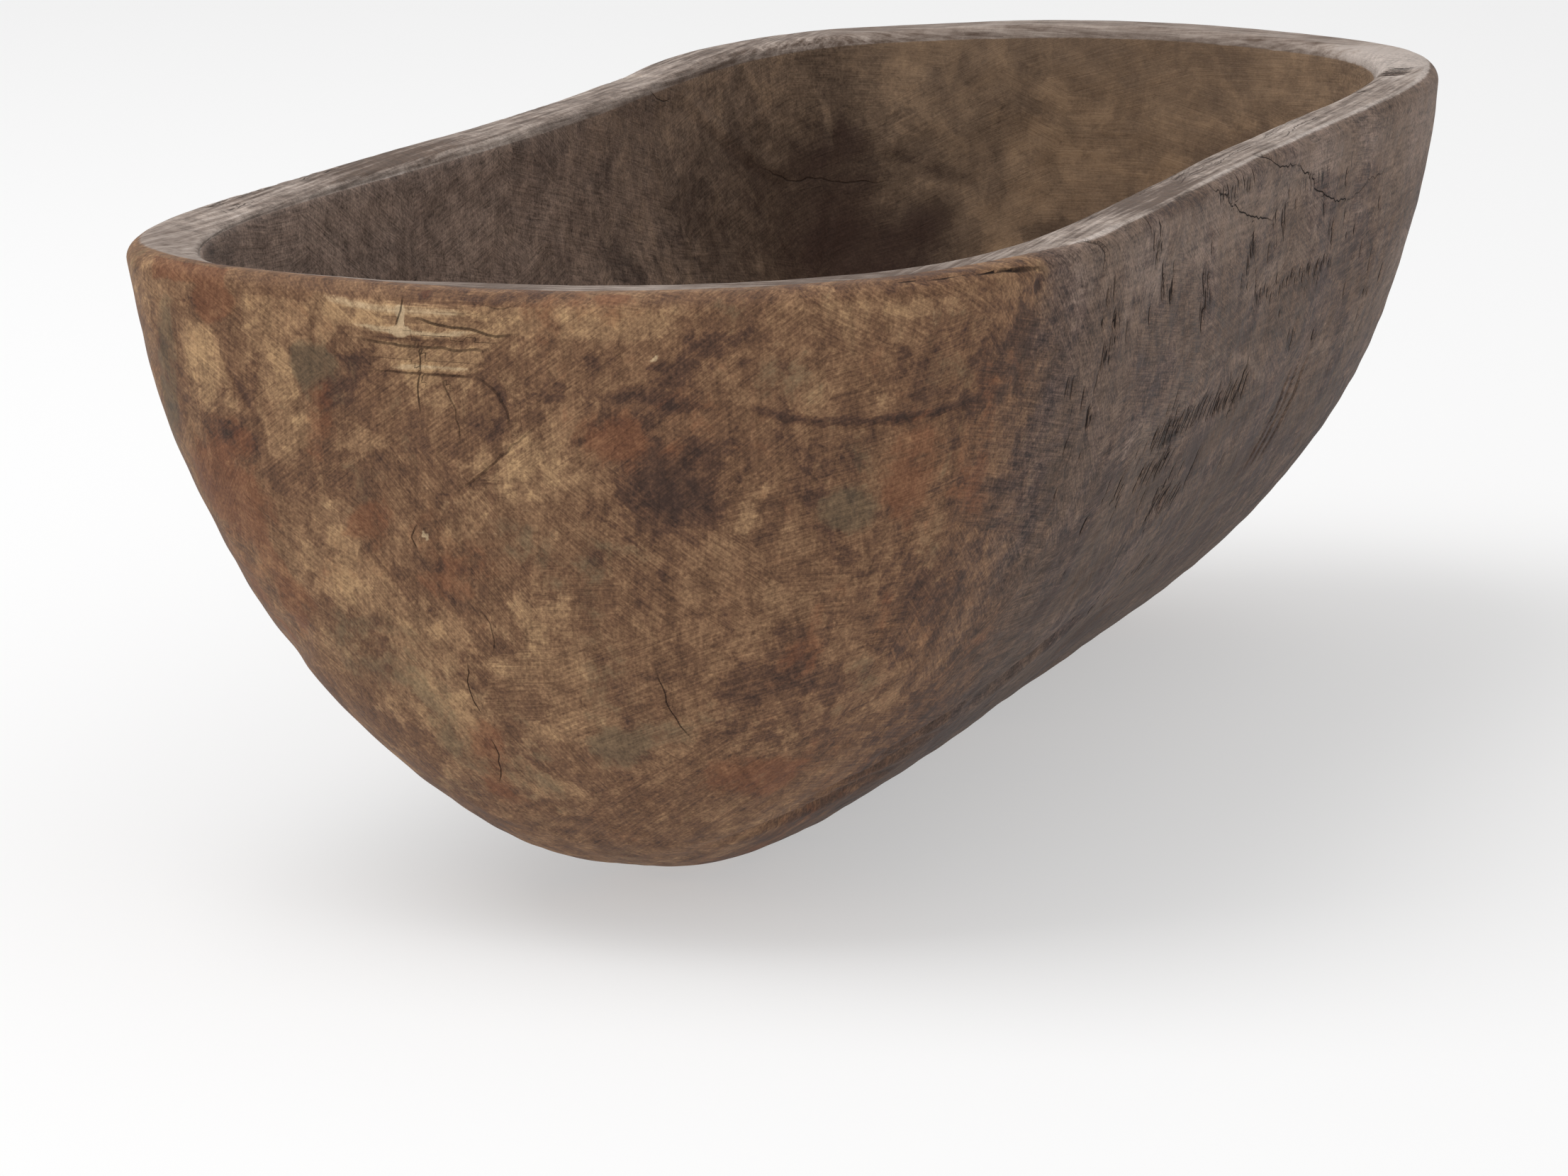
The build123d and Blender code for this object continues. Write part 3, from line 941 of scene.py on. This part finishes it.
class Nodes:
    """Short ways to add the nodes of one material."""

    def __init__(self, name):
        self.material = bpy.data.materials.new(name)
        self.material.use_nodes = True
        self.tree = self.material.node_tree
        self.shader = self.tree.nodes["Principled BSDF"]
        self.place = self.add("TexCoord", {}).outputs["Object"]
        self.named = {}

    def join(self, value, socket):
        """Links a node's output, or sets a plain number or colour."""
        if isinstance(value, bpy.types.NodeSocket):
            self.tree.links.new(value, socket)
        elif socket.type == "RGBA":
            socket.default_value = (*value, 1)
        else:
            socket.default_value = value

    def add(self, node_type, inputs, **settings):
        """A node with its settings, and its inputs by name or number."""
        node = self.tree.nodes.new("ShaderNode" + node_type)
        for name, setting in settings.items():
            setattr(node, name, setting)
        for name, value in inputs.items():
            self.join(value, node.inputs[name])
        return node

    def math(self, operation, *values, clamp=False):
        """A Math node."""
        return self.add("Math", dict(enumerate(values)), operation=operation, use_clamp=clamp).outputs[0]

    def times(self, first, second):
        """One value times another."""
        return self.math("MULTIPLY", first, second)

    def minus(self, first, second, clamp=False):
        """One value less another."""
        return self.math("SUBTRACT", first, second, clamp=clamp)

    def __getitem__(self, name):
        """The pattern with this name, or else the painted mask."""
        if name in self.named:
            return self.named[name]
        return self.add("Attribute", {}, attribute_name=name).outputs["Fac"]

    def total(self, base=0.0, **weights):
        """A base value plus named patterns and masks, each times its weight."""
        result = base
        for name, weight in weights.items():
            result = self.math("MULTIPLY_ADD", self[name], weight, result)
        return result

    def step(self, low, high, value):
        """Smooth step from 0 at low to 1 at high."""
        inputs = dict(enumerate((value, low, high, 0.0, 1.0)))
        return self.add("MapRange", inputs, interpolation_type="SMOOTHSTEP").outputs["Result"]

    def noise(self, scale, detail=4.0, roughness=0.6, distortion=0.0, stretch=None, place=None):
        """Noise from about -0.5 to 0.5, drawn out along an axis by stretch."""
        place = place or self.place
        if stretch:
            place = self.add("Mapping", {"Vector": place, "Scale": stretch}).outputs["Vector"]
        inputs = {"Vector": place, "Scale": scale, "Detail": detail, "Roughness": roughness}
        node = self.add("TexNoise", {**inputs, "Distortion": distortion})
        return self.minus(node.outputs["Fac"], 0.5)

    def patches(self, cells_per_metre):
        """Patches with wandering edges: two random values for each, the second from -0.5 to 0.5."""
        wander = self.add("TexNoise", {"Vector": self.place, "Scale": cells_per_metre * 1.3, "Detail": 3})
        reach = (0.9 / cells_per_metre,) * 3
        inputs = {0: wander.outputs["Color"], 1: reach, 2: self.place}
        shifted = self.add("VectorMath", inputs, operation="MULTIPLY_ADD").outputs["Vector"]
        cell = self.add("TexVoronoi", {"Vector": shifted, "Scale": cells_per_metre})
        chance = self.add("SeparateColor", {0: cell.outputs["Color"]})
        return chance.outputs[0], self.minus(chance.outputs[2], 0.5)

    def by_side(self, at_ends, at_sides):
        """One value on the ends and another on the long sides."""
        return self.math("MULTIPLY_ADD", self.minus(at_ends, at_sides), self["endwise"], at_sides)

    def brushed(self, turn, scale, stretch, detail=3.0):
        """Noise drawn out into strokes that lie in the surface, turned from patch to patch."""
        made = []
        for axis, squeeze in (("X_AXIS", (stretch, 1, stretch)), ("Y_AXIS", (1, stretch, stretch))):
            inputs = {"Vector": self.place, "Angle": self.times(turn, pi)}
            turned = self.add("VectorRotate", inputs, rotation_type=axis).outputs[0]
            made.append(self.noise(scale, detail, 0.6, 0.0, squeeze, turned))
        return self.by_side(*made)

    def ramp(self, level, *stops):
        """Colours along a level, from (level, colour) stops."""
        node = self.add("ValToRGB", {"Fac": level})
        elements = node.color_ramp.elements
        for number, (place, colour) in enumerate(stops):
            stop = elements[number] if number < 2 else elements.new(place)
            stop.position = place
            stop.color = (*colour, 1)
        return node.outputs["Color"]

    def mix(self, share, first, second, blend="MIX"):
        """Mix of two colours."""
        inputs = {"Factor": share, "A": first, "B": second}
        return self.add("Mix", inputs, data_type="RGBA", blend_type=blend).outputs["Result"]

    def grey(self, value):
        """A value as a grey colour, for multiplying with."""
        return self.add("CombineColor", dict.fromkeys(range(3), value)).outputs[0]


GOLD = (0.43, 0.27, 0.142)
TAN = (0.272, 0.16, 0.088)
BROWN = (0.172, 0.092, 0.052)
UMBER = (0.104, 0.055, 0.036)
DARK = (0.058, 0.034, 0.026)
RED = (0.176, 0.066, 0.034)
GREEN = (0.122, 0.096, 0.06)
GREY_LIGHT = (0.215, 0.155, 0.124)
GREY = (0.118, 0.077, 0.061)
GREY_DARK = (0.066, 0.043, 0.037)
GREY_WARM = (0.128, 0.082, 0.054)
# pale worn rim colours, lightened further as painted sheen
RIM_LIGHT_WITH_SHEEN = (0.345, 0.282, 0.242)
RIM_PALE_WITH_SHEEN = (0.44, 0.375, 0.335)
RIM_DARK = (0.12, 0.082, 0.062)
LINING_LIGHT = (0.34, 0.25, 0.2)
LINING = (0.2, 0.144, 0.116)
LINING_DARK = (0.09, 0.064, 0.054)
HOLLOW_UMBER = (0.1, 0.066, 0.046)
HOLLOW_BROWN = (0.185, 0.125, 0.084)
HOLLOW_TAN = (0.322, 0.216, 0.136)
HOLLOW_GOLD = (0.45, 0.308, 0.19)
# the colour of cracks, nicks and the painted shadow line under the rim's lip
CRACK_AND_SHADOW_LINE = (0.014, 0.008, 0.006)
CHIP = (0.5, 0.36, 0.22)
STAIN_SHARE = 0.55
LEVEL_STRETCH = ((1, 0.05, 1), (0.05, 1, 1))
UPRIGHT_STRETCH = ((0.06, 1, 0.06), (1, 0.06, 0.06))


def name_noises(n):
    """Noises of several sizes, from broad stains to speckle."""
    n.named.update(
        broad=n.noise(16, 8, 0.62, 0.6),
        patchy=n.noise(42, 9, 0.66, 0.8),
        other=n.noise(38, 9, 0.66, 0.8, (1.1, 0.9, 1.05)),
        mottle=n.noise(150, 6, 0.68, 0.4),
        speckle=n.noise(1000, 3, 0.65),
        hue=n.noise(21, 6, 0.62, 0.8, (1, 1.13, 0.91)),
        belt=n.noise(60, 7, 0.65, 0.5, (0.14, 0.5, 1)),
        fibre=n.by_side(*[n.noise(520, 4, 0.65, 0.2, stretch) for stretch in LEVEL_STRETCH]),
        upright=n.by_side(*[n.noise(560, 4, 0.62, 0.2, stretch) for stretch in UPRIGHT_STRETCH]),
        dashes=n.noise(520, 2, 0.5, 0.0, (1, 0.13, 0.13)),
    )


def name_strokes(n):
    """Brushed strokes, whose direction and tint change from patch to patch."""
    turn, tint = n.patches(17)
    turn = n.math("MULTIPLY_ADD", n.minus(turn, 0.5), n.total(0.65, hollow=-0.3), 0.5)
    n.named.update(
        tint=tint,
        tint_small=n.patches(55)[1],
        scrape=n.brushed(turn, 150, 0.20, 7),
        stroke=n.brushed(turn, 900, 0.07, 4),
        scratch=n.brushed(turn, 2000, 0.04, 2),
    )


def name_patches(n):
    """Where each kind of wood shows, light and dark patches with ragged edges, and the fine texture."""
    ends = n.step(0.08, 0.92, n.total(warm=1.0, patchy=0.9, mottle=0.6, stroke=0.15))
    sides = n.minus(1.0, ends)
    n.named["field"] = n.total(broad=0.9, patchy=1.2, scrape=0.3, stroke=0.12, mottle=0.7, belt=sides)
    lights = n.total(field=1.0, gold=0.38, dark=-0.40)
    darks = n.total(broad=-0.7, other=1.3, scrape=-0.3, stroke=-0.12, mottle=-0.8, dark=0.40, gold=-0.35)
    n.named.update(
        ends=ends,
        sides=sides,
        light=n.step(0.14, 0.30, lights),
        lighter=n.step(0.42, 0.56, lights),
        shade=n.step(0.14, 0.30, darks),
        darker=n.step(0.42, 0.56, darks),
        fine=n.total(
            stroke=0.15, scratch=0.18, speckle=0.30, mottle=0.5, tone=0.03, tint=0.08, tint_small=0.06
        ),
        cosiness=n.step(0.0, 1.0, n.total(hollow_warm=1.0, patchy=0.6)),
        # the rim's pale top: worn wood and painted sheen
        worn_rim=n.step(0.2, 0.8, n.total(rim=1.0, mottle=0.6, fibre=0.5)),
    )


def end_wood(n):
    """Warm brown wood of the ends, with red-brown and grey-green stains."""
    level = n.total(
        0.455, light=0.10, lighter=0.09, shade=-0.10, darker=-0.09, gold=0.03, dark=-0.05,
        broad=0.2, patchy=0.35, fine=1.0,
    )
    colour = n.ramp(level, (0.12, DARK), (0.28, UMBER), (0.43, BROWN), (0.58, TAN), (0.78, GOLD))
    reddish = n.step(0.25, 0.60, n.total(0.10, red=0.7, hue=2.0, stroke=0.3, mottle=1.0))
    greenish = n.step(0.25, 0.60, n.total(0.08, green=0.7, hue=-2.0, stroke=0.3, mottle=1.0))
    colour = n.mix(n.times(reddish, STAIN_SHARE), colour, RED)
    return n.mix(n.times(greenish, STAIN_SHARE), colour, GREEN)


def side_wood(n):
    """Weathered grey wood of the long sides, warmer in places."""
    level = n.total(
        0.51, light=0.09, lighter=0.07, shade=-0.10, darker=-0.08, gold=0.08, dark=-0.08, belt=0.4, fine=1.3
    )
    colour = n.ramp(level, (0.15, DARK), (0.34, GREY_DARK), (0.52, GREY), (0.80, GREY_LIGHT))
    warmer = n.step(0.2, 0.7, n.total(0.50, hue=2.0, mottle=0.8))
    return n.mix(n.times(warmer, 0.5), colour, GREY_WARM)


def hollow_wood(n):
    """Inside, grey at the near left and brown at the far right."""
    level = n.total(
        0.50, light=0.05, lighter=0.05, shade=-0.06, darker=-0.06, gold=0.08, dark=-0.10,
        broad=0.5, patchy=0.4, fine=0.45,
    )
    grey = n.ramp(level, (0.15, DARK), (0.34, LINING_DARK), (0.52, LINING), (0.80, LINING_LIGHT))
    dark_browns = ((0.08, DARK), (0.26, HOLLOW_UMBER), (0.44, HOLLOW_BROWN))
    brown = n.ramp(level, *dark_browns, (0.62, HOLLOW_TAN), (0.90, HOLLOW_GOLD))
    return n.mix(n["cosiness"], grey, brown)


def rim_wood_and_sheen(n):
    """Pale worn wood on top of the rim, paler still as painted sheen."""
    level = n.total(0.5, belt=0.6, mottle=0.5, fibre=1.6, gold=0.35, dark=-0.35, pale=0.6)
    return n.ramp(level, (0.22, RIM_DARK), (0.72, RIM_LIGHT_WITH_SHEEN), (1.0, RIM_PALE_WITH_SHEEN))


def grained(n, colour):
    """The colour with its grain, strongest on the long sides and calm in the warm part inside."""
    upward = n.math("MAXIMUM", n["ends"], n["hollow"])
    streaks = n.total(upright=upward, fibre=n.minus(1.0, upward))
    n.named.update(
        streaks=n.times(streaks, n.total(1.0, hollow=-0.6)),
        cosy_hollow=n.times(n["hollow"], n["cosiness"]),
    )
    n.named["grain"] = n.total(stroke=0.26, scratch=0.50, speckle=0.85, mottle=0.50, streaks=0.60)
    strength = n.total(1.25, cosy_hollow=-1.1, sides=1.15, worn_rim=-0.85)
    return n.mix(1.0, colour, n.grey(n.total(1.0, grain=strength)), "MULTIPLY")


def cracks_and_shadow_lines(n, colour):
    """The colour with fine nicks on the long sides and the dark middles of the cracks and of the painted
    shadow line under the rim's lip.
    """
    nicks = n.step(0.13, 0.17, n.total(-0.11, dashes=1.0, nick=0.11))
    outer_side = n.minus(n["sides"], n["hollow"], clamp=True)
    core = n.minus(1.0, n.step(0.10, 0.34, n.math("ABSOLUTE", n["cut_side"])))
    n.named.update(
        nicks=n.times(nicks, outer_side),
        core=n.math("MULTIPLY", core, n["cut_depth"], clamp=True),
    )
    colour = n.mix(n.total(nicks=0.85), colour, CRACK_AND_SHADOW_LINE)
    return n.mix(n["core"], colour, CRACK_AND_SHADOW_LINE)


def wood_colour(n):
    """The colours of the ends, sides, hollow and rim, then chips, the darkest spots (dark stains, and the
    painted shade of a small dent by the rim's lip), grain, cracks and painted shadow lines.
    """
    colour = n.mix(n["ends"], side_wood(n), end_wood(n))
    colour = n.mix(n["hollow"], colour, hollow_wood(n))
    colour = n.mix(n["worn_rim"], colour, rim_wood_and_sheen(n))
    colour = n.mix(n.step(0.3, 0.9, n.total(pale=0.9, speckle=0.5, mottle=0.5, stroke=0.5)), colour, CHIP)
    colour = n.mix(n.step(1.0, 2.6, n["dark"]), colour, DARK)
    return cracks_and_shadow_lines(n, grained(n, colour))


def wood_material():
    """Carved, stained and weathered wood, painted by the bowl's masks with noise of several sizes."""
    n = Nodes("carved_wood")
    name_noises(n)
    name_strokes(n)
    name_patches(n)
    n.join(wood_colour(n), n.shader.inputs["Base Color"])
    rough = n.total(0.64, speckle=0.2, mottle=0.25, stroke=0.3, core=0.25, rim=-0.05)
    n.join(rough, n.shader.inputs["Roughness"])
    n.shader.inputs["Specular IOR Level"].default_value = 0.12
    height = n.total(
        streaks=0.20, stroke=0.14, scratch=0.06, scrape=0.3, speckle=0.08, mottle=0.2, nicks=-0.3, core=-0.5
    )
    bump = n.tree.nodes.new("ShaderNodeBump")
    bump.inputs["Distance"].default_value = MM
    n.join(height, bump.inputs["Height"])
    n.join(bump.outputs["Normal"], n.shader.inputs["Normal"])
    return n.material


bowl.data.materials.append(wood_material())
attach(bowl, "root")
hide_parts("carved_bowl")


# ---- floor, light and camera

FLOOR_SIZE = 24.0
FLOOR_GAP = 0.1 * MM
FLOOR_COLOUR = 0.50
FLOOR_GLOW = 0.44

WORLD_STRENGTH = 0.67
KEY_PLACE = (-0.7, 1.2, 2.9)
KEY_TARGET = (0, 0, 0.1)
KEY_SIZE = 2.4
KEY_POWER = 57
CAMERA_PLACE = (-2.0730, -0.7083, 0.5006)
CAMERA_HEADING = radians(19.497)
CAMERA_DIP = radians(11.5)
CAMERA_LENS = 146.47
CAMERA_SENSOR = 36


def add_floor():
    """A plain pale floor that fills the picture."""
    corner = FLOOR_SIZE / 2
    mesh = bpy.data.meshes.new("pale_floor")
    places = [(-corner, -corner), (corner, -corner), (corner, corner), (-corner, corner)]
    mesh.from_pydata([(x, y, -FLOOR_GAP) for x, y in places], [], [(0, 1, 2, 3)])
    n = Nodes("pale_floor")
    n.shader.inputs["Base Color"].default_value = (FLOOR_COLOUR, FLOOR_COLOUR, FLOOR_COLOUR, 1)
    n.shader.inputs["Roughness"].default_value = 0.9
    n.shader.inputs["Specular IOR Level"].default_value = 0.1
    n.shader.inputs["Emission Color"].default_value = (1, 1, 1, 1)
    n.shader.inputs["Emission Strength"].default_value = FLOOR_GLOW
    mesh.materials.append(n.material)
    add_object("pale_floor", mesh)


def add_area_light(name, place, target, size, power):
    """A square soft light at a place, facing a target."""
    light = bpy.data.lights.new(name, "AREA")
    light.size = size
    light.energy = power
    lamp = add_object(name, light)
    lamp.location = place
    direction = np.array(target, float) - np.array(place, float)
    flat = np.hypot(direction[0], direction[1])
    heading = np.arctan2(direction[1], direction[0])
    lamp.rotation_euler = (np.arctan2(flat, -direction[2]), 0, heading - pi / 2)


def add_world(strength):
    """Even soft light from all round."""
    world = bpy.data.worlds.new("studio")
    world.use_nodes = True
    background = world.node_tree.nodes["Background"]
    background.inputs["Color"].default_value = (1, 1, 1, 1)
    background.inputs["Strength"].default_value = strength
    bpy.context.scene.world = world


def add_camera():
    """A long lens, looking down a little at the near end."""
    camera = add_object("camera", bpy.data.cameras.new("camera"))
    camera.location = CAMERA_PLACE
    camera.rotation_euler = (pi / 2 - CAMERA_DIP, 0, CAMERA_HEADING - pi / 2)
    camera.data.sensor_width = CAMERA_SENSOR
    camera.data.lens = CAMERA_LENS
    bpy.context.scene.camera = camera


add_floor()
add_world(WORLD_STRENGTH)
add_area_light("key", KEY_PLACE, KEY_TARGET, KEY_SIZE, KEY_POWER)
add_camera()
bpy.context.scene.view_settings.view_transform = "Standard"
